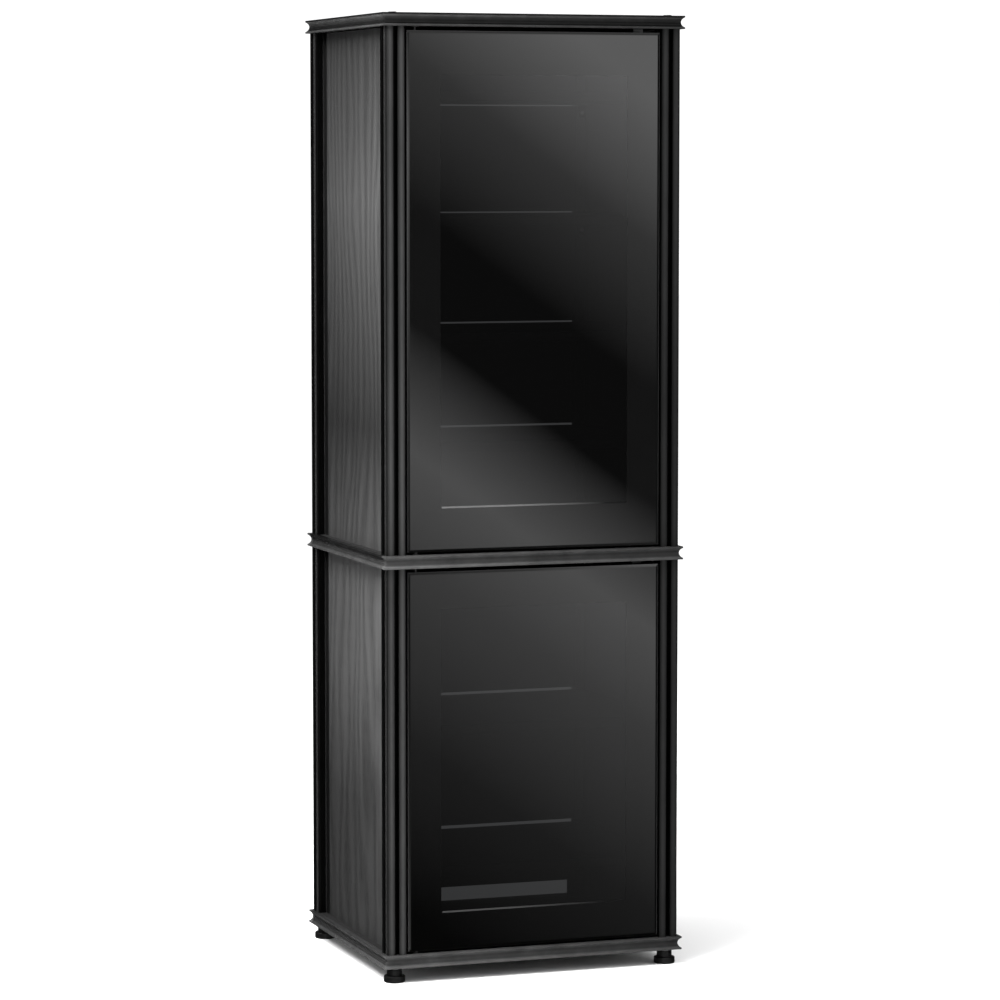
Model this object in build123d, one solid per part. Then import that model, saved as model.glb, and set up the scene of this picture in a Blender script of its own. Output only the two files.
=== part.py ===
"""Tall media cabinet: slotted posts, three edged boards, shelves, panels and two glass doors.

Millimetres.  The origin is on the floor under the middle of the cabinet: +X to the right,
+Y to the back, +Z up.  Each node of the dictionary at the end is one file in parts/.
"""
from build123d import *
import os

# ---- overall ---------------------------------------------------------------------------
WIDTH = 624.0            # over the lips of the edging, left to right
DEPTH = 526.0            # over the lips of the edging, front to back
LOWER_OPENING = 761.0    # bottom board to middle board
UPPER_OPENING = 1024.0   # middle board to top board
FOOT_HEIGHT = 30.0       # floor to the underside of the bottom board, feet screwed home

# ---- boards and their edging -----------------------------------------------------------
BOARD_THICK = 26.0
EDGING_DEPTH = 12.0      # lip tip to the edge of the board's core
LIP_THICK = 3.2          # each of the two thin lips
COVE_DEPTH = 6.5         # how far the hollow between the lips runs in
TONGUE_DEPTH = 5.0       # barbed tongue that holds the edging in its groove
TONGUE_THICK = 4.0
GROOVE_CLEAR = 0.1       # each side of the tongue and at its end

# ---- slotted posts ---------------------------------------------------------------------
POST = 40.0              # square section
POST_SETBACK = 7.0       # lip tip to the post's outer faces
POST_CORNER_R = 4.5
SLOT_MOUTH = 8.0
SLOT_LIP = 4.5           # thickness of metal at the mouth
SLOT_HALL = 20.0         # width of the slot behind its mouth
SLOT_HALL_DEPTH = 3.0    # straight part of the wide stretch
SLOT_FLOOR = 9.0         # width of the slot's floor
SLOT_DEPTH = 11.5
MOUTH_R = 1.8            # rounding of the mouth's two arrises
THREAD = 8.0             # studs, bolts and the bore of every post
THREAD_REACH = 25.0      # length of thread in a post's end

# ---- panels ----------------------------------------------------------------------------
PANEL_THICK = 6.0
PANEL_ENGAGE = 10.0      # how far a panel's edge stands in the slot
PANEL_CLEAR = 1.0        # above a panel, under the board
BACK_GAP = 2.5           # open slit between a shelf's face and the back panels beside it
CABLE_SLOT_END = 14.0    # panel left at each end of the cable slot, from the post's face
CABLE_SLOT_HEIGHT = 34.0

# ---- shelves and their brackets --------------------------------------------------------
SHELF_THICK = 20.0
SHELF_SIDE_GAP = 1.5     # to each side panel
SHELF_END_GAP = 1.0      # to the brackets' upright legs
SHELF_ARRIS_R = 1.5
LOWER_SHELF_TOPS = [162.0, 443.0]                  # above the bottom board
UPPER_SHELF_RISES = [215.0, 430.0]                 # tops above the middle board
UPPER_SHELF_DROPS = [366.0, 123.0]                 # tops below the top board
BRACKET_THICK = 2.5
BRACKET_WIDE = 15.0
BRACKET_REACH = 32.0     # leg under the shelf
BRACKET_DROP = 26.0      # leg against the post
BRACKET_EDGE_GAP = 0.5   # bracket's side to the post's corner line
SCREW_D = 4.0
SCREW_HOLE_CLEAR = 0.2   # all round the screw, in the bracket
SCREW_DROP = 16.0        # shelf's underside to the screw's axis
SCREW_INTO_POST = 9.0
SCREW_HEAD_D = 7.5
SCREW_HEAD_THICK = 2.6
SCREW_FROM_AXIS = 12.5   # post's axis to the screw's axis, in the solid corner of the section

# ---- doors -----------------------------------------------------------------------------
DOOR_SIDE_GAP = 3.0
DOOR_TOP_GAP = 8.0
DOOR_BOTTOM_GAP = 5.0
DOOR_SETBACK = 1.0       # glass behind the posts' front faces
STILE_WIDE = 68.0
UPPER_RAIL = 85.0        # height of both rails of the upper door
LOWER_RAIL = 73.0        # height of both rails of the lower door
FRAME_THICK = 18.0
GLASS_THICK = 5.0
BEVEL_WIDE = 5.0         # ground bevel round the front of the glass
BEVEL_DEEP = 1.0

# ---- door pivots -----------------------------------------------------------------------
PIN_D = 6.0
PIN_WALL = 2.0           # frame left between the pin and the glass
PIN_IN_DOOR = 25.0
RUNNING_CLEAR = 0.05     # radial, wherever a pin, plunger or foot moves in its bore
SWING_CLEAR = 0.5        # left between the turning door's corner and the post
BUSH_WALL = 2.0
BUSH_DEPTH = 10.0
BUSH_FLANGE_D = 16.0
BUSH_FLANGE_THICK = 1.5
THRUST_CLEAR = 0.1       # pin's collar to the bush's flange
PIN_COLLAR_D = 10.0
PIN_END_CLEAR = 1.0      # pin's end to the bottom of its bush

# ---- push latches ----------------------------------------------------------------------
LATCH_WIDE = 20.0
LATCH_TALL = 26.0
LATCH_LONG = 45.0
LATCH_AXIS_DROP = 17.0   # board's underside to the plunger's axis
LATCH_FROM_DOOR = 9.0    # back of the door to the latch's front
PLUNGER_D = 8.0
PLUNGER_IN_LATCH = 25.0
PLUNGER_ROOM = 10.0      # bore left behind the plunger, for its spring
PLUNGER_CLEAR = 0.4      # plunger's tip to the strike plate, door closed
STRIKE = 14.0
STRIKE_THICK = 1.5

# ---- bolts, caps and feet --------------------------------------------------------------
BOLT_HOLE_CLEAR = 0.3    # all round a stud or bolt, in a board
BOLT_HEAD_D = 13.0
BOLT_HEAD_THICK = 5.0
COUNTERBORE_D = 14.0
COUNTERBORE_DEPTH = 13.0
CAP_D = 16.0
CAP_PROUD = 2.0
CAP_STEM = 5.0
HEX_FLATS = 17.0
HEX_THICK = 5.0          # collar that clamps the bottom board to the post
FOOT_D = 42.0
FOOT_BASE = 13.0         # height of the wide base
FOOT_HUB_D = 30.0
FOOT_EDGE_R = 2.2
FOOT_TOP_CLEAR = 0.3     # top of the foot to the collar, foot screwed home
STUD_END_CLEAR = 0.5     # stud's end to the bottom of the foot's bore
FOOT_FLOOR = 3.0         # solid left under the stud

# ---- worked out ------------------------------------------------------------------------
POST_X = WIDTH / 2 - POST_SETBACK - POST / 2
POST_Y = DEPTH / 2 - POST_SETBACK - POST / 2
INNER_X = POST_X - POST / 2              # post faces that look across the cabinet
INNER_Y = POST_Y - POST / 2              # post faces that look front to back
Z_BOTTOM = FOOT_HEIGHT
Z_LOWER = Z_BOTTOM + BOARD_THICK
Z_MIDDLE = Z_LOWER + LOWER_OPENING
Z_UPPER = Z_MIDDLE + BOARD_THICK
Z_TOP = Z_UPPER + UPPER_OPENING
Z_CROWN = Z_TOP + BOARD_THICK
UPPER_SHELF_TOPS = UPPER_SHELF_RISES + [UPPER_OPENING - drop for drop in UPPER_SHELF_DROPS]

SIDE_PANEL_IN = POST_X - SLOT_MOUTH / 2              # inner face, tight to the slot's inner lip
BACK_PANEL_OUT = POST_Y + SLOT_MOUTH / 2             # outer face, tight to the slot's outer lip
PANEL_EDGE_X = INNER_X + PANEL_ENGAGE
PANEL_EDGE_Y = INNER_Y + PANEL_ENGAGE

SHELF_X = SIDE_PANEL_IN - SHELF_SIDE_GAP
SHELF_Y = INNER_Y - BRACKET_THICK - SHELF_END_GAP

GLASS_FRONT = -(POST_Y + POST / 2) + DOOR_SETBACK
FRAME_FRONT = GLASS_FRONT + GLASS_THICK
DOOR_BACK = FRAME_FRONT + FRAME_THICK
DOOR_X = INNER_X - DOOR_SIDE_GAP                     # half the door's width
PIVOT_FROM_FACE = GLASS_THICK + PIN_WALL + PIN_D / 2
SWING_GAP = DOOR_SIDE_GAP - SWING_CLEAR
PIVOT_FROM_EDGE = (PIVOT_FROM_FACE ** 2 - SWING_GAP ** 2) / (2 * SWING_GAP)
PIVOT_X = -DOOR_X + PIVOT_FROM_EDGE
PIVOT_Y = GLASS_FRONT + PIVOT_FROM_FACE
LATCH_X = DOOR_X - STILE_WIDE / 2
LATCH_FRONT = DOOR_BACK + LATCH_FROM_DOOR

CORNERS = {
    "front_left": (-1, -1),
    "front_right": (1, -1),
    "rear_left": (-1, 1),
    "rear_right": (1, 1),
}
SECTIONS = {
    "lower": (Z_LOWER, Z_MIDDLE, LOWER_SHELF_TOPS, LOWER_RAIL),
    "upper": (Z_UPPER, Z_TOP, UPPER_SHELF_TOPS, UPPER_RAIL),
}


def block(x, y, z):
    """Box between two X values, two Y values and two Z values, in either order."""
    size = [abs(pair[1] - pair[0]) for pair in (x, y, z)]
    centre = [(pair[0] + pair[1]) / 2 for pair in (x, y, z)]
    return Pos(*centre) * Box(*size)


def rod(x, y, z, diameter):
    """Upright cylinder between two Z values."""
    return Pos(x, y, (z[0] + z[1]) / 2) * Cylinder(diameter / 2, abs(z[1] - z[0]))


def rod_along_y(x, y, z, diameter):
    """Cylinder that lies front to back, between two Y values."""
    lying = Rot(90, 0, 0) * Cylinder(diameter / 2, abs(y[1] - y[0]))
    return Pos(x, (y[0] + y[1]) / 2, z) * lying


def at_corners():
    """The signs of X and Y at the four corners."""
    return list(CORNERS.values())


# ---- boards ----------------------------------------------------------------------------
def board_core(z0):
    """Solid core of a board, grooved all round for the edging's tongue."""
    half_x = WIDTH / 2 - EDGING_DEPTH
    half_y = DEPTH / 2 - EDGING_DEPTH
    core = block((-half_x, half_x), (-half_y, half_y), (z0, z0 + BOARD_THICK))
    cut = TONGUE_DEPTH + GROOVE_CLEAR
    groove_half = TONGUE_THICK / 2 + GROOVE_CLEAR
    middle = z0 + BOARD_THICK / 2
    band = (middle - groove_half, middle + groove_half)
    ring = block((-WIDTH, WIDTH), (-DEPTH, DEPTH), band)
    ring -= block((cut - half_x, half_x - cut), (cut - half_y, half_y - cut), band)
    return core - ring


def bored_for_posts(core, z0):
    """A board with a clearance hole over each post's axis."""
    hole = THREAD + 2 * BOLT_HOLE_CLEAR
    for sx, sy in at_corners():
        core -= rod(sx * POST_X, sy * POST_Y, (z0, z0 + BOARD_THICK), hole)
    return core


def bushed(core, face, into):
    """A board with the hole for a door's pivot bush, from a face inwards (+1 up, -1 down)."""
    return core - rod(PIVOT_X, PIVOT_Y, (face, face + into * BUSH_DEPTH), PIN_D + 2 * BUSH_WALL)


def bottom_board():
    core = bored_for_posts(board_core(Z_BOTTOM), Z_BOTTOM)
    return bushed(core, Z_LOWER, -1)


def middle_board():
    core = bored_for_posts(board_core(Z_MIDDLE), Z_MIDDLE)
    return bushed(bushed(core, Z_MIDDLE, 1), Z_UPPER, -1)


def top_board():
    core = bored_for_posts(board_core(Z_TOP), Z_TOP)
    for sx, sy in at_corners():
        core -= rod(sx * POST_X, sy * POST_Y, (Z_CROWN - COUNTERBORE_DEPTH, Z_CROWN), COUNTERBORE_D)
    return bushed(core, Z_TOP, 1)


def edging_bar(length, reach, z0):
    """One mitred length along X whose lips look to -Y, `reach` from the middle of the board."""
    low, high = z0, z0 + BOARD_THICK
    middle = (low + high) / 2
    back = EDGING_DEPTH
    tongue = back + TONGUE_DEPTH
    half_tongue = TONGUE_THICK / 2
    outline = [
        (0, high - LIP_THICK),
        (0, high),
        (back, high),
        (back, middle + half_tongue),
        (tongue, middle + half_tongue),
        (tongue, middle - half_tongue),
        (back, middle - half_tongue),
        (back, low),
        (0, low),
        (0, low + LIP_THICK),
    ]
    cove = ThreePointArc((0, low + LIP_THICK), (COVE_DEPTH, middle), (0, high - LIP_THICK))
    section = make_face([Polyline(*outline), cove])
    bar = extrude(Plane.YZ * section, length / 2, both=True)
    mitred = Polygon((-length / 2, 0), (length / 2, 0), (length / 2 - tongue, tongue),
                     (tongue - length / 2, tongue), align=None)
    bar &= Pos(0, 0, low) * extrude(mitred, BOARD_THICK)
    return Pos(0, -reach, 0) * bar


def edging(z0):
    """The four mitred lengths round one board: front, right, back, left."""
    across = edging_bar(WIDTH, DEPTH / 2, z0)
    along = edging_bar(DEPTH, WIDTH / 2, z0)
    return [across, Rot(0, 0, 90) * along, Rot(0, 0, 180) * across, Rot(0, 0, -90) * along]


# ---- posts -----------------------------------------------------------------------------
def post_section():
    """Square slotted section with a bore for threads, centred on its axis."""
    half = POST / 2
    outer = Rectangle(POST, POST)
    slot = Polygon(
        (-SLOT_MOUTH / 2, half),
        (-SLOT_MOUTH / 2, half - SLOT_LIP),
        (-SLOT_HALL / 2, half - SLOT_LIP),
        (-SLOT_HALL / 2, half - SLOT_LIP - SLOT_HALL_DEPTH),
        (-SLOT_FLOOR / 2, half - SLOT_DEPTH),
        (SLOT_FLOOR / 2, half - SLOT_DEPTH),
        (SLOT_HALL / 2, half - SLOT_LIP - SLOT_HALL_DEPTH),
        (SLOT_HALL / 2, half - SLOT_LIP),
        (SLOT_MOUTH / 2, half - SLOT_LIP),
        (SLOT_MOUTH / 2, half),
        align=None,
    )
    for turn in range(4):
        outer -= Rot(0, 0, 90 * turn) * slot
    outer -= Circle(THREAD / 2)
    corners = [v for v in outer.vertices() if abs(abs(v.X) - half) + abs(abs(v.Y) - half) < 0.01]
    outer = fillet(corners, POST_CORNER_R)
    mouths = [
        v for v in outer.vertices()
        if abs(min(abs(v.X), abs(v.Y)) - SLOT_MOUTH / 2) < 0.01
        and abs(max(abs(v.X), abs(v.Y)) - half) < 0.01
    ]
    return fillet(mouths, MOUTH_R)


def screw_place(sx, sy, shelf_under):
    """Where a shelf bracket's screw meets the post's face."""
    return sx * (POST_X - SCREW_FROM_AXIS), sy * INNER_Y, shelf_under - SCREW_DROP


def post(section, sx, sy, z0, z1, shelf_tops):
    """A post between two boards, with a pilot hole for the screw of each shelf's bracket."""
    bar = extrude(section, z1 - z0)
    bar = Pos(sx * POST_X, sy * POST_Y, z0) * bar
    for top in shelf_tops:
        x, y, z = screw_place(sx, sy, z0 + top - SHELF_THICK)
        bar -= rod_along_y(x, (y - sy, y + sy * SCREW_INTO_POST), z, SCREW_D)
    return bar


# ---- panels ----------------------------------------------------------------------------
def side_panel(side, z0, z1):
    """Veneered panel between the front and rear posts, its edges in their slots."""
    x = (side * SIDE_PANEL_IN, side * (SIDE_PANEL_IN + PANEL_THICK))
    return block(x, (-PANEL_EDGE_Y, PANEL_EDGE_Y), (z0, z1 - PANEL_CLEAR))


def panel_gaskets(z0, z1):
    """Rubber strips that press the side panels' edges against the slots' inner lips."""
    strips = []
    for sx, sy in at_corners():
        x = (sx * (SIDE_PANEL_IN + PANEL_THICK), sx * (SIDE_PANEL_IN + SLOT_MOUTH))
        y = (sy * (INNER_Y + MOUTH_R), sy * (INNER_Y + SLOT_LIP))
        strips.append(block(x, y, (z0, z1 - PANEL_CLEAR)))
    return strips


def back_levels(z0, z1, shelf_tops):
    """Lower and upper edge of the back panel of each bay, from the bottom up."""
    tops = [z0 + top for top in shelf_tops]
    lows = [z0] + [top + BACK_GAP for top in tops]
    highs = [top - SHELF_THICK - BACK_GAP for top in tops] + [z1 - PANEL_CLEAR]
    return list(zip(lows, highs))


def back_panel(low, high):
    """Back of one bay, its ends in the rear posts' slots."""
    y = (BACK_PANEL_OUT - PANEL_THICK, BACK_PANEL_OUT)
    return block((-PANEL_EDGE_X, PANEL_EDGE_X), y, (low, high))


def cable_slot(panel, low):
    """The lowest back panel, notched along its lower edge for cables."""
    half = INNER_X - CABLE_SLOT_END
    y = (BACK_PANEL_OUT - PANEL_THICK, BACK_PANEL_OUT)
    return panel - block((-half, half), y, (low, low + CABLE_SLOT_HEIGHT))


def back_spacers(levels):
    """Rubber blocks in the slots that carry each back panel above the one below it."""
    blocks = []
    for (_, high), (low, _) in zip(levels, levels[1:]):
        for sx in (-1, 1):
            x = (sx * (INNER_X + SLOT_LIP), sx * PANEL_EDGE_X)
            blocks.append(block(x, (BACK_PANEL_OUT - PANEL_THICK, BACK_PANEL_OUT), (high, low)))
    return blocks


# ---- shelves ---------------------------------------------------------------------------
def shelf(top):
    """Full-depth shelf between the side panels, its long arrises eased."""
    board = block((-SHELF_X, SHELF_X), (-SHELF_Y, SHELF_Y), (top - SHELF_THICK, top))
    front = board.edges().filter_by(Axis.X).sort_by(Axis.Y)[:2]
    return fillet(front, SHELF_ARRIS_R)


def shelf_brackets(under):
    """The four angle brackets under one shelf."""
    brackets = []
    for sx, sy in at_corners():
        x = (sx * (INNER_X + BRACKET_EDGE_GAP), sx * (INNER_X + BRACKET_EDGE_GAP + BRACKET_WIDE))
        leg = block(x, (sy * INNER_Y, sy * (INNER_Y - BRACKET_THICK)), (under, under - BRACKET_DROP))
        ledge = block(x, (sy * INNER_Y, sy * (INNER_Y - BRACKET_REACH)), (under, under - BRACKET_THICK))
        sx_, sy_, sz_ = screw_place(sx, sy, under)
        hole = rod_along_y(sx_, (sy_, sy_ - sy * BRACKET_THICK), sz_, SCREW_D + 2 * SCREW_HOLE_CLEAR)
        brackets.append(leg + ledge - hole)
    return brackets


def bracket_screws(under):
    """The screw of each of one shelf's brackets."""
    screws = []
    for sx, sy in at_corners():
        x, y, z = screw_place(sx, sy, under)
        under_head = y - sy * BRACKET_THICK
        shank = rod_along_y(x, (under_head, y + sy * SCREW_INTO_POST), z, SCREW_D)
        head = rod_along_y(x, (under_head, under_head - sy * SCREW_HEAD_THICK), z, SCREW_HEAD_D)
        screws.append(shank + head)
    return screws


# ---- doors -----------------------------------------------------------------------------
def door_levels(z0, z1):
    return z0 + DOOR_BOTTOM_GAP, z1 - DOOR_TOP_GAP


def glass_pane(low, high):
    """Tinted pane over the whole face of the door, with a ground bevel round its front."""
    front, back = GLASS_FRONT, FRAME_FRONT
    plan = Polygon(
        (-DOOR_X, back),
        (-DOOR_X, front + BEVEL_DEEP),
        (BEVEL_WIDE - DOOR_X, front),
        (DOOR_X - BEVEL_WIDE, front),
        (DOOR_X, front + BEVEL_DEEP),
        (DOOR_X, back),
        align=None,
    )
    profile = Polygon(
        (back, low),
        (front + BEVEL_DEEP, low),
        (front, low + BEVEL_WIDE),
        (front, high - BEVEL_WIDE),
        (front + BEVEL_DEEP, high),
        (back, high),
        align=None,
    )
    upright = Pos(0, 0, low) * extrude(plan, high - low)
    return upright & extrude(Plane.YZ * profile, DOOR_X, both=True)


def door_stile(side, low, high):
    """Full-height upright of the door's frame."""
    x = (side * DOOR_X, side * (DOOR_X - STILE_WIDE))
    return block(x, (FRAME_FRONT, DOOR_BACK), (low, high))


def hinge_stile(low, high):
    """The left stile, bored for the two pivot pins."""
    stile = door_stile(-1, low, high)
    stile -= rod(PIVOT_X, PIVOT_Y, (low, low + PIN_IN_DOOR), PIN_D)
    return stile - rod(PIVOT_X, PIVOT_Y, (high - PIN_IN_DOOR, high), PIN_D)


def door_rail(low, high):
    """Rail between the two stiles."""
    half = DOOR_X - STILE_WIDE
    return block((-half, half), (FRAME_FRONT, DOOR_BACK), (low, high))


def pivot_pins(z0, z1):
    """Bottom pin with the collar that carries the door, and the plain top pin."""
    low, high = door_levels(z0, z1)
    flange = z0 + BUSH_FLANGE_THICK
    lower = rod(PIVOT_X, PIVOT_Y, (z0 - BUSH_DEPTH + PIN_END_CLEAR, low + PIN_IN_DOOR), PIN_D)
    lower += rod(PIVOT_X, PIVOT_Y, (flange + THRUST_CLEAR, low), PIN_COLLAR_D)
    upper = rod(PIVOT_X, PIVOT_Y, (high - PIN_IN_DOOR, z1 + BUSH_DEPTH - PIN_END_CLEAR), PIN_D)
    return [lower, upper]


def pivot_bush(face, into):
    """Flanged bush pressed into a board, its bore a running fit on the door's pin."""
    deep = face + into * BUSH_DEPTH
    proud = face - into * BUSH_FLANGE_THICK
    bush = rod(PIVOT_X, PIVOT_Y, (face, deep), PIN_D + 2 * BUSH_WALL)
    bush += rod(PIVOT_X, PIVOT_Y, (proud, face), BUSH_FLANGE_D)
    return bush - rod(PIVOT_X, PIVOT_Y, (proud, deep), PIN_D + 2 * RUNNING_CLEAR)


# ---- push latches ----------------------------------------------------------------------
def latch_body(z1):
    """Latch housing under a board, bored from the front for its plunger."""
    x = (LATCH_X - LATCH_WIDE / 2, LATCH_X + LATCH_WIDE / 2)
    housing = block(x, (LATCH_FRONT, LATCH_FRONT + LATCH_LONG), (z1 - LATCH_TALL, z1))
    bore_end = LATCH_FRONT + PLUNGER_IN_LATCH + PLUNGER_ROOM
    bore_d = PLUNGER_D + 2 * RUNNING_CLEAR
    return housing - rod_along_y(LATCH_X, (LATCH_FRONT, bore_end), z1 - LATCH_AXIS_DROP, bore_d)


def latch_plunger(z1):
    """Magnet-tipped plunger, a hair clear of the strike plate when the door is closed."""
    tip = DOOR_BACK + STRIKE_THICK + PLUNGER_CLEAR
    y = (tip, LATCH_FRONT + PLUNGER_IN_LATCH)
    plunger = rod_along_y(LATCH_X, y, z1 - LATCH_AXIS_DROP, PLUNGER_D)
    return chamfer(plunger.edges().sort_by(Axis.Y)[0], PLUNGER_D / 10)


def strike_plate(z1):
    """Steel plate on the back of the door."""
    middle = z1 - LATCH_AXIS_DROP
    x = (LATCH_X - STRIKE / 2, LATCH_X + STRIKE / 2)
    return block(x, (DOOR_BACK, DOOR_BACK + STRIKE_THICK), (middle - STRIKE / 2, middle + STRIKE / 2))


# ---- bolts, studs, caps and feet -------------------------------------------------------
def post_bolt(sx, sy):
    """Bolt from the top board's counterbore down into an upper post."""
    x, y = sx * POST_X, sy * POST_Y
    seat = Z_CROWN - COUNTERBORE_DEPTH
    shank = rod(x, y, (Z_TOP - THREAD_REACH, seat), THREAD)
    return shank + rod(x, y, (seat, seat + BOLT_HEAD_THICK), BOLT_HEAD_D)


def bolt_cap(sx, sy):
    """Plastic cap pressed into the counterbore over a bolt."""
    x, y = sx * POST_X, sy * POST_Y
    crown = rod(x, y, (Z_CROWN, Z_CROWN + CAP_PROUD), CAP_D)
    crown = fillet(crown.edges().sort_by(Axis.Z)[-1], CAP_PROUD / 2)
    return crown + rod(x, y, (Z_CROWN - CAP_STEM, Z_CROWN), COUNTERBORE_D)


def joining_stud(sx, sy):
    """Double-ended stud through the middle board, into a lower and an upper post."""
    z = (Z_MIDDLE - THREAD_REACH, Z_UPPER + THREAD_REACH)
    return rod(sx * POST_X, sy * POST_Y, z, THREAD)


def foot_levels():
    """Top of the foot, bottom of its bore and end of the stud in it."""
    top = FOOT_HEIGHT - HEX_THICK - FOOT_TOP_CLEAR
    return top, FOOT_FLOOR, FOOT_FLOOR + STUD_END_CLEAR


def foot_stud(sx, sy):
    """Stud with a hexagon collar: it clamps the bottom board to a post and carries a foot."""
    x, y = sx * POST_X, sy * POST_Y
    stud = rod(x, y, (foot_levels()[2], Z_LOWER + THREAD_REACH), THREAD)
    collar = extrude(RegularPolygon(HEX_FLATS / 2, 6, major_radius=False), HEX_THICK)
    return stud + Pos(x, y, Z_BOTTOM - HEX_THICK) * collar


def levelling_foot(sx, sy):
    """Round foot screwed on its stud, with a wide eased base and a narrower hub."""
    x, y = sx * POST_X, sy * POST_Y
    top, bore_end, _ = foot_levels()
    base = rod(x, y, (0, FOOT_BASE), FOOT_D)
    base = fillet(base.edges().filter_by(GeomType.CIRCLE), FOOT_EDGE_R)
    foot = base + rod(x, y, (0, top), FOOT_HUB_D)
    return foot - rod(x, y, (bore_end, top), THREAD + 2 * RUNNING_CLEAR)


# ---- the cabinet -----------------------------------------------------------------------
def build():
    """Every node by name: one solid, or a list of like solids."""
    nodes = {
        "bottom_board": bottom_board(),
        "middle_board": middle_board(),
        "top_board": top_board(),
        "bottom_edging": edging(Z_BOTTOM),
        "middle_edging": edging(Z_MIDDLE),
        "top_edging": edging(Z_TOP),
        "pivot_bushes": [],
        "latch_bodies": [],
        "slot_gaskets": [],
        "shelf_brackets": [],
        "shelf_bracket_screws": [],
    }
    section = post_section()
    for level, (z0, z1, shelf_tops, rail) in SECTIONS.items():
        for corner, (sx, sy) in CORNERS.items():
            nodes[f"{level}_post_{corner}"] = post(section, sx, sy, z0, z1, shelf_tops)
        for name, side in (("left", -1), ("right", 1)):
            nodes[f"{level}_side_panel_{name}"] = side_panel(side, z0, z1)
        levels = back_levels(z0, z1, shelf_tops)
        for number, (low, high) in enumerate(levels, 1):
            nodes[f"{level}_back_panel_{number}"] = back_panel(low, high)
        nodes["slot_gaskets"] += panel_gaskets(z0, z1) + back_spacers(levels)
        for number, top in enumerate(shelf_tops, 1):
            under = z0 + top - SHELF_THICK
            nodes[f"{level}_shelf_{number}"] = shelf(z0 + top)
            nodes["shelf_brackets"] += shelf_brackets(under)
            nodes["shelf_bracket_screws"] += bracket_screws(under)
        low, high = door_levels(z0, z1)
        nodes[f"{level}_door_glass"] = glass_pane(low, high)
        nodes[f"{level}_door_hinge_stile"] = hinge_stile(low, high)
        nodes[f"{level}_door_latch_stile"] = door_stile(1, low, high)
        nodes[f"{level}_door_bottom_rail"] = door_rail(low, low + rail)
        nodes[f"{level}_door_top_rail"] = door_rail(high - rail, high)
        nodes[f"{level}_door_pivot_pins"] = pivot_pins(z0, z1)
        nodes[f"{level}_door_strike_plate"] = strike_plate(z1)
        nodes["pivot_bushes"] += [pivot_bush(z0, -1), pivot_bush(z1, 1)]
        nodes["latch_bodies"].append(latch_body(z1))
        nodes[f"{level}_latch_plunger"] = latch_plunger(z1)
    nodes["lower_back_panel_1"] = cable_slot(nodes["lower_back_panel_1"], Z_LOWER)
    nodes["post_bolts"] = [post_bolt(sx, sy) for sx, sy in at_corners()]
    nodes["bolt_caps"] = [bolt_cap(sx, sy) for sx, sy in at_corners()]
    nodes["post_studs"] = [joining_stud(sx, sy) for sx, sy in at_corners()]
    nodes["post_studs"] += [foot_stud(sx, sy) for sx, sy in at_corners()]
    for corner, (sx, sy) in CORNERS.items():
        nodes[f"foot_{corner}"] = levelling_foot(sx, sy)
    return nodes


def write(nodes):
    os.makedirs("parts", exist_ok=True)
    for name, shape in nodes.items():
        whole = Compound([piece.solid() for piece in shape]) if isinstance(shape, list) else shape.solid()
        export_step(whole, f"parts/{name}.step")


write(build())
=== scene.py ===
import math

import bpy
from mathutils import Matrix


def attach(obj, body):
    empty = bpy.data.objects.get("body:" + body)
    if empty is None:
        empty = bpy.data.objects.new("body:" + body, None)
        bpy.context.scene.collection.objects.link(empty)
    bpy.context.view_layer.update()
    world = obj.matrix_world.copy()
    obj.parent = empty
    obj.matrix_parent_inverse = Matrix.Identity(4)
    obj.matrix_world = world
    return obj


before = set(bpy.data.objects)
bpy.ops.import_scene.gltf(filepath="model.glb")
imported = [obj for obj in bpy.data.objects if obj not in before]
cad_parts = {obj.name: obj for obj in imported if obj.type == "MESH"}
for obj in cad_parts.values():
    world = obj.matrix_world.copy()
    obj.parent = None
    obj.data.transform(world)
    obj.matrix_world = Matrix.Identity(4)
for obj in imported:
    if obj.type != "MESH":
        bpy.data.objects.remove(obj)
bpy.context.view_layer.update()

# The looks of a tall media cabinet: slotted aluminium posts, three edged boards, stained side
# panels, laminate backs and shelves, and two doors of smoked glass. The CAD nodes carry the
# shapes; each section below gives one kind of piece its finish. Metres, +Z up, doors face -Y.
bpy.ops.object.select_all(action="DESELECT")


# ---- Levelling feet --------------------------------------------------------------------
# Four round feet of black moulded polyethylene, each turned up or down on the stud above it.
# Mould-fine grain all over, and the rim scuffed paler where it has been turned and slid.
CORNERS = ("front_left", "front_right", "rear_left", "rear_right")


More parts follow.
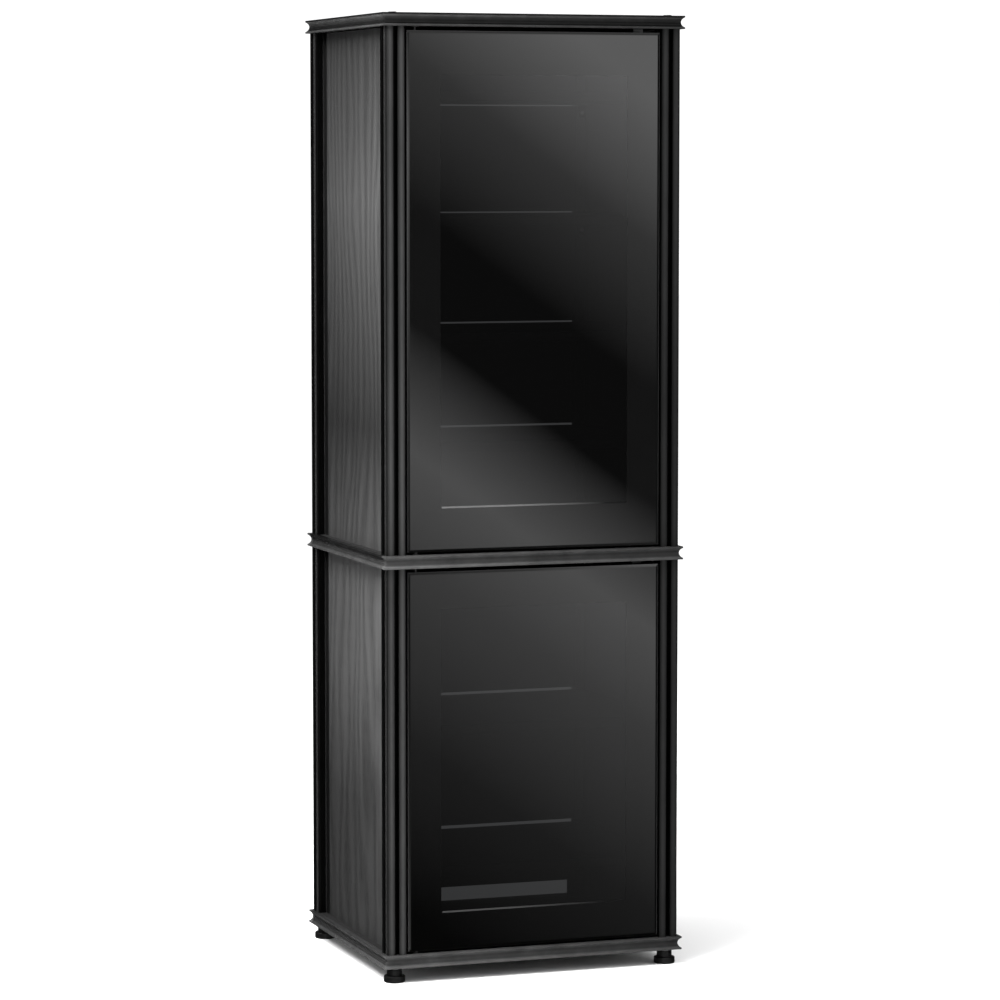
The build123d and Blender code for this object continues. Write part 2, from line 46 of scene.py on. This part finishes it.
class Wire:
    """An output socket in a finish's node tree. + - * and > on it add Math nodes."""

    def __init__(self, tree, out):
        self.tree = tree
        self.out = out

    def node(self, kind, settings, inputs, output=0):
        """Adds a node: its settings first, then the values or wires of its inputs."""
        added = self.tree.nodes.new(kind)
        for name, value in settings.items():
            if name == "stops":
                elements = added.color_ramp.elements
                while len(elements) < len(value):
                    elements.new(1.0)
                for element, (position, shade) in zip(elements, value):
                    element.position = position
                    element.color = shade
            else:
                setattr(added, name, value)
        for name, value in inputs.items():
            if isinstance(value, Wire):
                self.tree.links.new(value.out, added.inputs[name])
            else:
                added.inputs[name].default_value = value
        return Wire(self.tree, added.outputs[output])

    def maths(self, operation, first, second):
        return self.node("ShaderNodeMath", {"operation": operation}, {0: first, 1: second})

    def __add__(self, other):
        return self.maths("ADD", self, other)

    def __radd__(self, other):
        return self.maths("ADD", other, self)

    def __sub__(self, other):
        return self.maths("SUBTRACT", self, other)

    def __rsub__(self, other):
        return self.maths("SUBTRACT", other, self)

    def __mul__(self, other):
        return self.maths("MULTIPLY", self, other)

    def __rmul__(self, other):
        return self.maths("MULTIPLY", other, self)

    def __gt__(self, other):
        return self.maths("GREATER_THAN", self, other)

    def absolute(self):
        return self.node("ShaderNodeMath", {"operation": "ABSOLUTE"}, {0: self})

    def within(self, low, high):
        """1 where this value lies between low and high, and 0 elsewhere."""
        return (self > low) * (1 - (self > high))

    def axis(self, name):
        return self.node("ShaderNodeSeparateXYZ", {}, {0: self}, "XYZ".index(name))

    def stretched(self, x, y, z):
        """The same place with its three axes scaled, so that a pattern runs long one way."""
        return self.node("ShaderNodeMapping", {}, {"Vector": self, "Scale": (x, y, z)})

    def noise(self, scale, detail=3.0, roughness=0.5):
        return self.node("ShaderNodeTexNoise", {"noise_dimensions": "3D"},
                         {"Vector": self, "Scale": scale, "Detail": detail, "Roughness": roughness})

    def between(self, low, high, to_low, to_high):
        """This value's stretch low to high spread over to_low to to_high, held at both ends."""
        return self.node("ShaderNodeMapRange", {"clamp": True},
                         {"Value": self, "From Min": low, "From Max": high,
                          "To Min": to_low, "To Max": to_high})

    def choose(self, yes, no):
        """The value yes where this one is 1, and no where it is 0."""
        return self * yes + (1 - self) * no

    def dimmed(self, factor):
        """This colour times a value."""
        return self.node("ShaderNodeVectorMath", {"operation": "SCALE"}, {0: self, "Scale": factor})

    def blend(self, first, second):
        """The colour first where this value is 0, and second where it is 1."""
        return self.node("ShaderNodeMix", {"data_type": "RGBA"}, {0: self, 6: first, 7: second}, 2)

    def graded(self, stops, span=1.0):
        """The grey that this value picks from stops, which are spread over 0 to span."""
        shades = [(at / span, grey(level)) for at, level in stops]
        return self.node("ShaderNodeValToRGB", {"stops": shades}, {0: self * (1 / span)})


def new_finish(name, **sockets):
    """A finish whose even qualities are set on its shader. Returns it and its place wire."""
    finish = bpy.data.materials.new(name)
    finish.use_nodes = True
    tree = finish.node_tree
    for socket, value in sockets.items():
        tree.nodes["Principled BSDF"].inputs[socket.replace("_", " ")].default_value = value
    coordinates = tree.nodes.new("ShaderNodeTexCoord")
    return finish, Wire(tree, coordinates.outputs["Object"])


def varied(place, colour, roughness=None, height=None, depth=0.0, strength=1.0):
    """Feeds what changes over the surface to the shader; height is a relief depth metres deep."""
    shader = place.tree.nodes["Principled BSDF"]
    links = place.tree.links
    links.new(colour.out, shader.inputs["Base Color"])
    if roughness:
        links.new(roughness.out, shader.inputs["Roughness"])
    if height:
        bump = place.node("ShaderNodeBump", {},
                          {"Height": height, "Distance": depth, "Strength": strength})
        links.new(bump.out, shader.inputs["Normal"])


def dress(finish, *names):
    """Puts a finish on CAD nodes, which keep their own shapes."""
    for name in names:
        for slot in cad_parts[name].material_slots:
            slot.material = finish


def grey(level):
    return (level, level, level, 1.0)


SCUFFED_FROM = 0.001           # the rim is scuffed most here, and hardly at all above the next
SCUFFED_TO = 0.009
foot_plastic, place = new_finish("moulded foot plastic", IOR=1.5, Specular_IOR_Level=0.45)
grain = place.noise(2600.0, 2.0)
scuffs = place.stretched(1.0, 1.0, 5.0).noise(160.0, 5.0, 0.7).between(0.55, 0.75, 0.0, 1.0)
low_down = place.axis("Z").between(SCUFFED_FROM, SCUFFED_TO, 1.0, 0.15)
varied(place, (scuffs * low_down).blend(grey(0.004), grey(0.025)),
       0.34 + scuffs * 0.2 + grain * 0.08, grain, 0.00006, 0.5)
dress(foot_plastic, *("foot_" + corner for corner in CORNERS))

# ---- Studs, bolts, strike plates and shelf screws --------------------------------------
# Steel, zinc plated and clear passivated: the M8 studs through the lower boards, the top
# board's bolts, the doors' strike plates and the screws of the shelf brackets.
zinc_plate, place = new_finish("zinc plate", Metallic=1.0)
bloom = place.noise(220.0, 4.0, 0.6)
lathe = place.stretched(1.0, 1.0, 90.0).noise(40.0, 2.0)
varied(place, bloom.between(0.35, 0.7, 0.0, 1.0).blend((0.52, 0.54, 0.57, 1), (0.62, 0.6, 0.55, 1)),
       0.24 + bloom * 0.18, lathe, 0.00003, 0.4)
dress(zinc_plate, "post_studs", "post_bolts", "shelf_bracket_screws", "lower_door_strike_plate",
      "upper_door_strike_plate")

# ---- Pivot pins ------------------------------------------------------------------------
# Turned steel pins that the doors swing on, chemically blacked and oiled, with the tool's
# fine rings round them and a little bare steel showing through on the high spots.
blacked_steel, place = new_finish("blacked steel", IOR=1.8)
turned = place.stretched(1.0, 1.0, 60.0).noise(60.0, 2.0)
bare = place.noise(900.0, 3.0, 0.6).between(0.64, 0.72, 0.0, 1.0)
varied(place, bare.blend(grey(0.004), grey(0.03)), 0.3 + turned * 0.1, turned, 0.00003, 0.4)
dress(blacked_steel, "lower_door_pivot_pins", "upper_door_pivot_pins")

# ---- Boards ----------------------------------------------------------------------------
# Bottom, middle and top boards: particle board with black textured laminate on both faces,
# grooved round all four edges for the edging. The laminate has a fine satin pebble.
board_laminate, place = new_finish("black pebbled laminate", IOR=1.52, Specular_IOR_Level=0.4)
pebble = place.noise(1500.0, 3.0, 0.6)
drift = place.noise(7.0, 3.0)
flecks = place.noise(700.0, 2.0).between(0.62, 0.7, 0.0, 1.0)
varied(place, flecks.blend(drift.blend(grey(0.007), grey(0.011)), grey(0.022)),
       drift.between(0.3, 0.7, 0.38, 0.48) + pebble * 0.1, pebble, 0.00012, 0.55)
dress(board_laminate, "bottom_board", "middle_board", "top_board")

# ---- Edging ----------------------------------------------------------------------------
# Extruded aluminium round each board, black anodised, mitred at the corners and tapped into
# the board's groove by its barbed tongue: two thin lips with a hollow cove between them.
EDGING_FACE_Y = 0.245          # beyond this the strip runs along X, short of it along Y
EDGING_FOOT = 0.030            # underside of the bottom strip
EDGING_TALL = 0.026
STEP_TO_MIDDLE = 0.787         # from the bottom strip up to the middle one, and on to the top
STEP_TO_TOP = 1.050
OVER_BOTTOM = 0.4              # heights in the clear between one strip and the next
OVER_MIDDLE = 1.4
SIDE_REACH = (-0.26, 0.2)      # where the painted light along the side strips begins and ends
FRONT_REACH = (-0.31, 0.31)    # and along the front ones
# Painted highlights and shade up each strip, 0 at its foot and 1 at its top: bright lips and cove,
# darker between them. The first list is for the bottom and middle strips, the second for the top
# one.
PAINTED_LIP_HIGHLIGHTS = ((0.0, 0.068), (0.18, 0.068), (0.27, 0.032), (0.45, 0.042), (0.62, 0.030),
                (0.72, 0.045), (0.85, 0.060), (1.0, 0.045))
PAINTED_CROWN_HIGHLIGHTS = ((0.0, 0.022), (0.12, 0.035), (0.2, 0.002), (0.45, 0.007), (0.68, 0.030),
              (0.82, 0.080), (0.90, 0.006), (1.0, 0.002))
edging_anodised, place = new_finish("black anodised edging", IOR=1.5, Specular_IOR_Level=0.09)
front_or_back = place.axis("Y").absolute() > EDGING_FACE_Y
drawn_x = place.stretched(1.5, 900.0, 900.0).noise(1.0, 4.0, 0.65)
drawn_y = place.stretched(900.0, 1.5, 900.0).noise(1.0, 4.0, 0.65)
drawn = front_or_back.choose(drawn_x, drawn_y)
handling = place.noise(26.0, 4.0, 0.6).between(0.3, 0.75, 0.75, 1.25)
high = place.axis("Z")
past_bottom = high > OVER_BOTTOM
crown = high > OVER_MIDDLE
up_strip = high - EDGING_FOOT - past_bottom * STEP_TO_MIDDLE - crown * STEP_TO_TOP
up_strip = up_strip * (1 / EDGING_TALL)
edging_highlights = crown.blend(up_strip.graded(PAINTED_LIP_HIGHLIGHTS), up_strip.graded(PAINTED_CROWN_HIGHLIGHTS))
# Painted light along the side strips, brightest toward the front corner and strongest on the top
# strip.
painted_corner_light = place.axis("Y").between(*SIDE_REACH, 0.6, 0.35) * crown.choose(2.4, 1.25)
# Painted shade over the upper part of the middle side strips.
painted_lip_shade = up_strip.between(0.55, 0.68, 1.0, 0.25)
# Painted light along the front and back strips, fading toward the right.
painted_front_fade = place.axis("X").between(*FRONT_REACH, 1.05, 0.5)
painted_side_light = painted_corner_light * (past_bottom - crown).choose(painted_lip_shade, 1.0)
varied(place, edging_highlights.dimmed(handling * front_or_back.choose(painted_front_fade, painted_side_light)),
       drawn.between(0.25, 0.75, 0.2, 0.3), drawn, 0.00003, 0.4)
dress(edging_anodised, "bottom_edging", "middle_edging", "top_edging")

# ---- Posts -----------------------------------------------------------------------------
# Eight lengths of slotted aluminium section, 40 mm square, black anodised, clamped between
# the boards by studs and bolts. Fine draw lines run the whole length of each.
LEVELS = ("lower", "upper")
POST_AXIS_X = 0.285
RIB_FROM_AXIS = 0.0115         # middle of each rib of the front skin, beside the slot
RIB_HALF = 0.0085
SIDE_RIBS_Y = (-0.2475, 0.2245)  # the side skin's forward ribs, on the front and rear posts
SIDE_RIB_CORE = 0.003          # painted highlight is full this far from a rib's middle, and gone entirely
SIDE_RIB_EDGE = 0.008          # beyond this
FRONT_SKIN = 0.2548            # the skin lies beyond these, the slots short of them
SIDE_SKIN = 0.3038
post_anodised, place = new_finish("black anodised post", IOR=1.5, Specular_IOR_Level=0.1)
drawn = place.stretched(1100.0, 1100.0, 1.2).noise(1.0, 4.0, 0.65)
handling = place.stretched(1.0, 1.0, 0.35).noise(18.0, 4.0, 0.6).between(0.3, 0.75, 0.8, 1.2)
# The ribs beside each slot on the front skin, and the side skin's forward ribs, carry painted
# highlights. The front ones fade toward the right.
off_axis = (place.axis("X").absolute() - POST_AXIS_X).absolute()
rib_highlight = (off_axis - RIB_FROM_AXIS).absolute().between(0.0, RIB_HALF, 1.0, 0.0)
from_ribs = [(place.axis("Y") - y).absolute() for y in SIDE_RIBS_Y]
side_rib_highlight = place.maths("MINIMUM", *from_ribs).between(SIDE_RIB_CORE, SIDE_RIB_EDGE, 1.0, 0.0)
outward = place.axis("Y").absolute() > FRONT_SKIN
sideways = place.axis("X").absolute() > SIDE_SKIN
painted_rib_fade = place.axis("X").between(0.0, 0.3, 1.0, 0.28)
painted_highlight = outward * rib_highlight * painted_rib_fade + sideways * side_rib_highlight * 0.35
varied(place, painted_highlight.blend(grey(0.0008), grey(0.042)).dimmed(handling),
       drawn.between(0.25, 0.75, 0.16, 0.24), drawn, 0.00003, 0.35)
dress(post_anodised, *(f"{level}_post_{corner}" for level in LEVELS for corner in CORNERS))

# ---- Side panels -----------------------------------------------------------------------
# Four sheets of open-grained ash veneer on board, stained black and sealed with satin
# lacquer, slid down into the posts' slots. The grain stands upright on every one.
MIDDLE_HEIGHT = 0.824          # half way up the middle board, where one sheet ends
LIPPING_EDGE = -0.124          # forward of this the sheets are edged in straight solid wood
LIPPING_JOINT = -0.141
JOINT_CORE = 0.002             # the dark line is full this far either side of the joint
JOINT_EDGE = 0.006             # and gone beyond this
PAINTED_REAR_SHADE = (0.193, 0.197)   # painted shade darkens the sheet here, where it goes in behind the rear post
PAINTED_LIGHT_REACH = (-0.15, 0.19)    # painted light brightens the sheet from back to front over this
PAINTED_LIGHT_SPAN = 2.0               # metres that the stops below are read over, in height
# Painted light and shade up the sheets, a level listed at each height.
PAINTED_LIGHT_BY_HEIGHT = ((0.06, 0.42), (0.32, 0.41), (0.60, 0.90), (0.75, 0.92), (1.08, 0.28), (1.53, 0.83),
               (1.83, 0.41))
stained_ash, place = new_finish("black stained ash", IOR=1.5, Specular_IOR_Level=0.4)
upper_sheet = place.axis("Z") > MIDDLE_HEIGHT
sheet = upper_sheet * 2.7 + (place.axis("X") > 0.0) * 1.3
across = place.axis("Y") + sheet
upright = place.axis("Z")
leaf = place.node("ShaderNodeCombineXYZ", {}, {"X": across, "Y": upright, "Z": sheet})
sway = leaf.stretched(2.2, 0.55, 1.0).noise(1.0, 3.0, 0.55)
rings = place.maths("PINGPONG", across * 46.0 + sway * 26.0, 1.0)
pores = leaf.stretched(1500.0, 26.0, 1.0).noise(1.0, 3.0, 0.6)
open_pores = pores.between(0.5, 0.66, 0.0, 1.0) * rings.between(0.1, 0.75, 1.0, 0.25)
figure = leaf.stretched(60.0, 1.6, 1.0).noise(1.0, 3.0, 0.6)
tone = rings.between(0.0, 1.0, 0.0, 0.6) + figure.between(0.3, 0.7, 0.0, 0.4)
lipping = 1.0 - (place.axis("Y") > LIPPING_EDGE)
from_joint = (place.axis("Y") - LIPPING_JOINT).absolute()
joint = from_joint.between(JOINT_CORE, JOINT_EDGE, 0.85, 1.0)
painted_rear_shade = place.axis("Y").between(*PAINTED_REAR_SHADE, 1.0, 0.1)
painted_front_light = place.axis("Y").between(*PAINTED_LIGHT_REACH, 1.42, 0.90)
wood = open_pores.blend(tone.blend(grey(0.036), grey(0.062)), grey(0.02))
# The painted light and shade by height.
wood = wood.dimmed(upright.graded(PAINTED_LIGHT_BY_HEIGHT, PAINTED_LIGHT_SPAN))
# Painted shade at the rear edge and painted light toward the front, on top of the dark joint and
# the paler lipping.
varied(place, wood.dimmed(joint * painted_rear_shade * painted_front_light * (1.0 + lipping * 0.12)),
       0.36 + tone * 0.06 + open_pores * 0.28, tone * 0.25 - open_pores, 0.00012, 0.6)
dress(stained_ash, *(f"{level}_side_panel_{side}" for level in LEVELS
                     for side in ("left", "right")))

# ---- Back panels -----------------------------------------------------------------------
# Eight sheets of 6 mm board, one behind each bay, faced in black melamine with a faint
# orange-peel skin, held in the rear posts' slots.
back_laminate, place = new_finish("black melamine", IOR=1.5, Specular_IOR_Level=0.4)
peel = place.noise(420.0, 2.0, 0.5)
drift = place.noise(5.0, 3.0)
varied(place, drift.blend(grey(0.022), grey(0.032)), drift.between(0.3, 0.7, 0.42, 0.5),
       peel, 0.0001, 0.4)
BACK_PANELS = {"lower": (1, 2, 3), "upper": (1, 2, 3, 4, 5)}
dress(back_laminate, *(f"{level}_back_panel_{n}" for level in LEVELS for n in BACK_PANELS[level]))

# ---- Slot gaskets ----------------------------------------------------------------------
# Blocks and strips of black rubber pressed into the slots, which carry the panels and stop
# them rattling. Dull, with a dusty bloom.
gasket_rubber, place = new_finish("gasket rubber", IOR=1.45, Specular_IOR_Level=0.3)
bloom = place.noise(300.0, 4.0, 0.6)
varied(place, bloom.between(0.35, 0.7, 0.0, 1.0).blend(grey(0.012), grey(0.03)),
       0.7 + bloom * 0.15, bloom, 0.00008, 0.5)
dress(gasket_rubber, "slot_gaskets")

# ---- Shelves ---------------------------------------------------------------------------
# Six shelves of 20 mm board wrapped in black laminate, long arrises rounded. The wear of
# sliding equipment in and out shows as fine lines front to back on the top faces.
shelf_laminate, place = new_finish("black shelf laminate", IOR=1.52, Specular_IOR_Level=0.4)
pebble = place.noise(1300.0, 3.0, 0.6)
slid = place.stretched(520.0, 5.0, 30.0).noise(1.0, 3.0, 0.6).between(0.6, 0.72, 0.0, 1.0)
drift = place.noise(9.0, 3.0)
varied(place, slid.blend(drift.blend(grey(0.022), grey(0.03)), grey(0.05)),
       drift.between(0.3, 0.7, 0.36, 0.46) + pebble * 0.08 - slid * 0.05, pebble, 0.0001, 0.5)
SHELVES = {"lower": (1, 2), "upper": (1, 2, 3, 4)}
dress(shelf_laminate, *(f"{level}_shelf_{n}" for level in LEVELS for n in SHELVES[level]))

# ---- Shelf brackets --------------------------------------------------------------------
# Pressed steel angles that carry the shelves, black powder coated, screwed to the posts. A
# soft orange peel with a low shine.
black_steel, place = new_finish("black powder coat", IOR=1.5, Specular_IOR_Level=0.5)
peel = place.noise(650.0, 2.0, 0.5)
varied(place, place.noise(30.0).blend(grey(0.014), grey(0.022)),
       peel.between(0.3, 0.7, 0.4, 0.52), peel, 0.00012, 0.5)
dress(black_steel, "shelf_brackets")

# ---- Door glass ------------------------------------------------------------------------
# Two sheets of 5 mm smoked float glass with ground bevels, bonded to their frames. They are
# polished true, and only the depth of the smoke drifts a little over each sheet. Outside the
# clear window the back is printed black, with painted shade toward the foot of the lower sheet.
# The ground bevel round the rim is painted paler, as a highlight where it catches light.
GLASS_IOR = 1.52
WINDOW_HALF = 0.194
LOWER_WINDOW = (0.134, 0.736)  # from the foot to the head of each clear window
UPPER_WINDOW = (0.933, 1.774)
BEVEL_FROM = 0.2602            # beyond this, left and right, the rim is ground
LOWER_HEAD = (0.8075, 0.82)    # the ground rim along the lower sheet's head
UPPER_HEAD = 1.8575            # and where the upper sheet's begins
PAINTED_FOOT_SHADE = (0.15, 0.6)       # painted shade: the print is darkest below this and keeps its own tone above it
smoked_glass, place = new_finish("smoked glass", IOR=GLASS_IOR, Transmission_Weight=1.0,
                                 Roughness=0.0)
smoke = place.stretched(1.0, 1.0, 2.0).noise(3.0, 1.0)
varied(place, smoke.blend((0.10, 0.103, 0.106, 1), (0.11, 0.112, 0.115, 1)))
off_middle = place.axis("X").absolute()
up = place.axis("Z")
clear = up.within(*LOWER_WINDOW) + up.within(*UPPER_WINDOW)
clear = clear * (1 - (off_middle > WINDOW_HALF))
# The ground rim is painted paler, a painted highlight along the bevel.
ground_rim_highlight = place.maths("MAXIMUM", off_middle > BEVEL_FROM, up > UPPER_HEAD)
ground_rim_highlight = place.maths("MAXIMUM", ground_rim_highlight, up.within(*LOWER_HEAD))
thin_print = smoke.blend(grey(0.0017), grey(0.0023))
print_and_painted_shade = up.between(*PAINTED_FOOT_SHADE, 0.0, 1.0).blend(grey(0.0002), thin_print)
tree = place.tree
printed = tree.nodes.new("ShaderNodeBsdfPrincipled")   # the shader outside the clear windows
printed.inputs["IOR"].default_value = GLASS_IOR
printed.inputs["Roughness"].default_value = 0.0
tree.links.new(ground_rim_highlight.blend(print_and_painted_shade, grey(0.013)).out, printed.inputs["Base Color"])
join = tree.nodes.new("ShaderNodeMixShader")
tree.links.new(clear.out, join.inputs[0])
tree.links.new(printed.outputs[0], join.inputs[1])
tree.links.new(tree.nodes["Principled BSDF"].outputs[0], join.inputs[2])
tree.links.new(join.outputs[0], tree.nodes["Material Output"].inputs["Surface"])
dress(smoked_glass, "lower_door_glass", "upper_door_glass")

# ---- Window strips ---------------------------------------------------------------------
# A thin drawn strip bonded along the foot of each door's clear window, over the bottom rail's
# edge, coloured pale as a painted highlight where that edge catches light. It stands 0.4 mm
# proud of the glass, its edges eased, and its painted highlight is brightest toward the hinge
# side and fades out toward the latch side.
STRIP_HALF = 0.192
STRIP_TALL = 0.0034
STRIP_FACE_Y = -0.2554
STRIP_BACK_Y = -0.25505
STRIP_EASED = 0.00012
STRIP_HIGHLIGHT_FADE = (-0.05, 0.15)   # painted highlight full left of the first, and none right of the second
STRIPS = (("lower", 0.1342, 0.035), ("upper", 0.9328, 0.11))   # height of foot, shade of the painted highlight
for level, foot, shade in STRIPS:
    strip_finish, place = new_finish(f"{level} painted highlight strip", IOR=1.5, Specular_IOR_Level=0.1)
    drawn = place.stretched(1.5, 900.0, 900.0).noise(1.0, 4.0, 0.65)
    painted_highlight = place.axis("X").between(*STRIP_HIGHLIGHT_FADE, 1.0, 0.0)
    varied(place, painted_highlight.blend(grey(0.004), grey(shade)), drawn.between(0.25, 0.75, 0.3, 0.42),
           drawn, 0.00003, 0.3)
    bpy.ops.mesh.primitive_cube_add(size=1.0)
    strip = bpy.context.object
    strip.name = f"{level}_painted_highlight_strip"
    strip.scale = (2 * STRIP_HALF, STRIP_BACK_Y - STRIP_FACE_Y, STRIP_TALL)
    strip.location = (0.0, (STRIP_BACK_Y + STRIP_FACE_Y) / 2, foot + STRIP_TALL / 2)
    bpy.ops.object.transform_apply(location=True, rotation=True, scale=True)
    easing = strip.modifiers.new("easing", "BEVEL")
    easing.width = STRIP_EASED
    easing.segments = 2
    bpy.ops.object.modifier_apply(modifier=easing.name)
    strip.data.materials.append(strip_finish)
    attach(strip, f"{level}_door")
    bpy.ops.object.select_all(action="DESELECT")

# ---- Door frames -----------------------------------------------------------------------
# Stiles and rails of black anodised aluminium bar, corner-jointed and bonded flat to the
# back of the glass. Drawn along their length and satin.
door_frame_black, place = new_finish("black door frame", Metallic=0.3, IOR=1.5)
drawn = place.stretched(500.0, 500.0, 1.5).noise(1.0, 4.0, 0.6)
varied(place, drawn.blend(grey(0.013), grey(0.019)), drawn.between(0.3, 0.7, 0.4, 0.5),
       drawn, 0.00004, 0.35)
dress(door_frame_black, *(f"{level}_door_{piece}" for level in LEVELS
                          for piece in ("hinge_stile", "latch_stile", "bottom_rail", "top_rail")))

# ---- Pivot bushes, latches and caps ----------------------------------------------------
# Small mouldings in black acetal: the bushes that the doors' pins turn in, the bodies and
# plungers of the push latches, and the caps over the top board's bolts.
black_acetal, place = new_finish("black acetal", IOR=1.48, Specular_IOR_Level=0.5)
grain = place.noise(1800.0, 2.0)
flow = place.noise(60.0, 3.0)
varied(place, flow.blend(grey(0.005), grey(0.009)),
       flow.between(0.3, 0.7, 0.26, 0.36) + grain * 0.06, grain, 0.00005, 0.4)
dress(black_acetal, "pivot_bushes", "latch_bodies", "lower_latch_plunger", "upper_latch_plunger",
      "bolt_caps")

# ---- Studio ----------------------------------------------------------------------------
# A pale floor that runs out to a white room, a broad soft light overhead, a strong one high on
# the left for the side panels, a faint strip in front, and a graded sheet in front of the
# doors for the glass to mirror.
FLOOR_RADIUS = 40.0
floor_paint, place = new_finish("pale floor", Roughness=0.9, Specular_IOR_Level=0.0)
varied(place, place.noise(0.6, 2.0).blend(grey(0.905), grey(0.915)))
bpy.ops.mesh.primitive_circle_add(vertices=96, radius=FLOOR_RADIUS, fill_type="NGON")
floor = bpy.context.object
floor.name = "floor"
floor.data.materials.append(floor_paint)
floor.visible_glossy = False
floor.visible_transmission = False

ROOM_WHITE = 1.12              # the white room, straight to the eye and on dull surfaces
ROOM_MIRRORED = 0.03           # the same room as it shows in the shine of things
ROOM_THROUGH_GLASS = 0.3       # and as it shows through the smoked doors
room = bpy.data.worlds.new("white room")
room.use_nodes = True
bpy.context.scene.world = room
room_tree = room.node_tree
glow = room_tree.nodes["Background"]
ray = room_tree.nodes.new("ShaderNodeLightPath").outputs
straight = ROOM_WHITE - Wire(room_tree, ray["Is Glossy Ray"]) * (ROOM_WHITE - ROOM_MIRRORED)
through = Wire(room_tree, ray["Is Transmission Ray"])
room_tree.links.new((through * ROOM_THROUGH_GLASS + (1 - through) * straight).out,
                    glow.inputs["Strength"])
glow.inputs["Color"].default_value = (1, 1, 1, 1)


def soft_light(name, stand, aim, wide, tall, power):
    """A rectangular lamp at stand, turned to aim, unseen by the camera."""
    lamp = bpy.data.lights.new(name, "AREA")
    lamp.shape = "RECTANGLE"
    lamp.size = wide
    lamp.size_y = tall
    lamp.energy = power
    light = bpy.data.objects.new(name, lamp)
    bpy.context.collection.objects.link(light)
    light.location = stand
    reach = [to - at for to, at in zip(aim, stand)]
    light.rotation_euler = (math.atan2(math.hypot(reach[0], reach[1]), -reach[2]), 0,
                            math.atan2(reach[0], -reach[1]) + math.pi)
    light.visible_camera = False


soft_light("overhead", (0.0, -0.6, 3.6), (0, 0, 0.6), wide=4.0, tall=4.0, power=60.0)
soft_light("left", (-2.6, -0.9, 4.4), (-0.3, 0, 0.9), wide=3.0, tall=3.0, power=520.0)
soft_light("top_strip", (0.0, -3.0, 3.1), (0, 0, 1.8), wide=3.0, tall=0.5, power=3.0)

SHEET_AWAY = 3.0               # in front of the cabinet
SHEET_WIDE = 5.0
SHEET_TOP = 2.0
SHEET_FOOT = -1.1
SHEET_SLOPE = (0.5909, 0.8068)  # direction across its bands, along X and Z
SHEET_SPAN = 2.4               # metres that the stops below are spread over
SHEET_BRIGHT = 24.0
SHEET_STOPS = ((0.04, 0.0015), (0.42, 0.010), (0.82, 0.036), (1.05, 0.064), (1.33, 0.003),
               (1.58, 0.003), (1.90, 0.027), (2.22, 0.096))
sheet_glow = bpy.data.materials.new("graded sheet")
sheet_glow.use_nodes = True
tree = sheet_glow.node_tree
tree.nodes.remove(tree.nodes["Principled BSDF"])
place = Wire(tree, tree.nodes.new("ShaderNodeTexCoord").outputs["Object"])
across = place.axis("X") * SHEET_SLOPE[0] + place.axis("Z") * SHEET_SLOPE[1]
bands = place.maths("PINGPONG", across, SHEET_SPAN).graded(SHEET_STOPS, SHEET_SPAN)
emit = tree.nodes.new("ShaderNodeEmission")
emit.inputs["Strength"].default_value = SHEET_BRIGHT
tree.links.new(bands.out, emit.inputs["Color"])
tree.links.new(emit.outputs[0], tree.nodes["Material Output"].inputs["Surface"])
bpy.ops.mesh.primitive_plane_add(size=1.0, location=(0, -SHEET_AWAY, (SHEET_TOP + SHEET_FOOT) / 2),
                                 rotation=(-math.pi / 2, 0, 0))
light_sheet = bpy.context.object
light_sheet.name = "graded_sheet"
light_sheet.scale = (SHEET_WIDE, SHEET_TOP - SHEET_FOOT, 1)
bpy.ops.object.transform_apply(location=True, rotation=True, scale=True)
light_sheet.data.materials.append(sheet_glow)
light_sheet.visible_camera = False
light_sheet.visible_shadow = False

# The camera stands well back on the left and a little above the middle board, with a long
# lens, so that the uprights stay upright.
CAMERA_AIM = (0.0174, 0.0, 0.9229)
CAMERA_AWAY = 8.042
CAMERA_TURN = math.radians(19.279)
CAMERA_DIP = math.radians(4.889)
CAMERA_LENS = 142.75           # millimetres, with the sensor below
CAMERA_SENSOR = 36.0
CAMERA_SEES = 200.0            # metres
camera = bpy.data.cameras.new("camera")
camera.lens = CAMERA_LENS
camera.sensor_width = CAMERA_SENSOR
camera.clip_end = CAMERA_SEES
viewer = bpy.data.objects.new("camera", camera)
bpy.context.collection.objects.link(viewer)
viewer.location = (CAMERA_AIM[0] - CAMERA_AWAY * math.sin(CAMERA_TURN) * math.cos(CAMERA_DIP),
                   CAMERA_AIM[1] - CAMERA_AWAY * math.cos(CAMERA_TURN) * math.cos(CAMERA_DIP),
                   CAMERA_AIM[2] + CAMERA_AWAY * math.sin(CAMERA_DIP))
viewer.rotation_euler = (math.pi / 2 - CAMERA_DIP, 0, -CAMERA_TURN)
bpy.context.scene.camera = viewer
bpy.context.scene.view_settings.view_transform = "Standard"
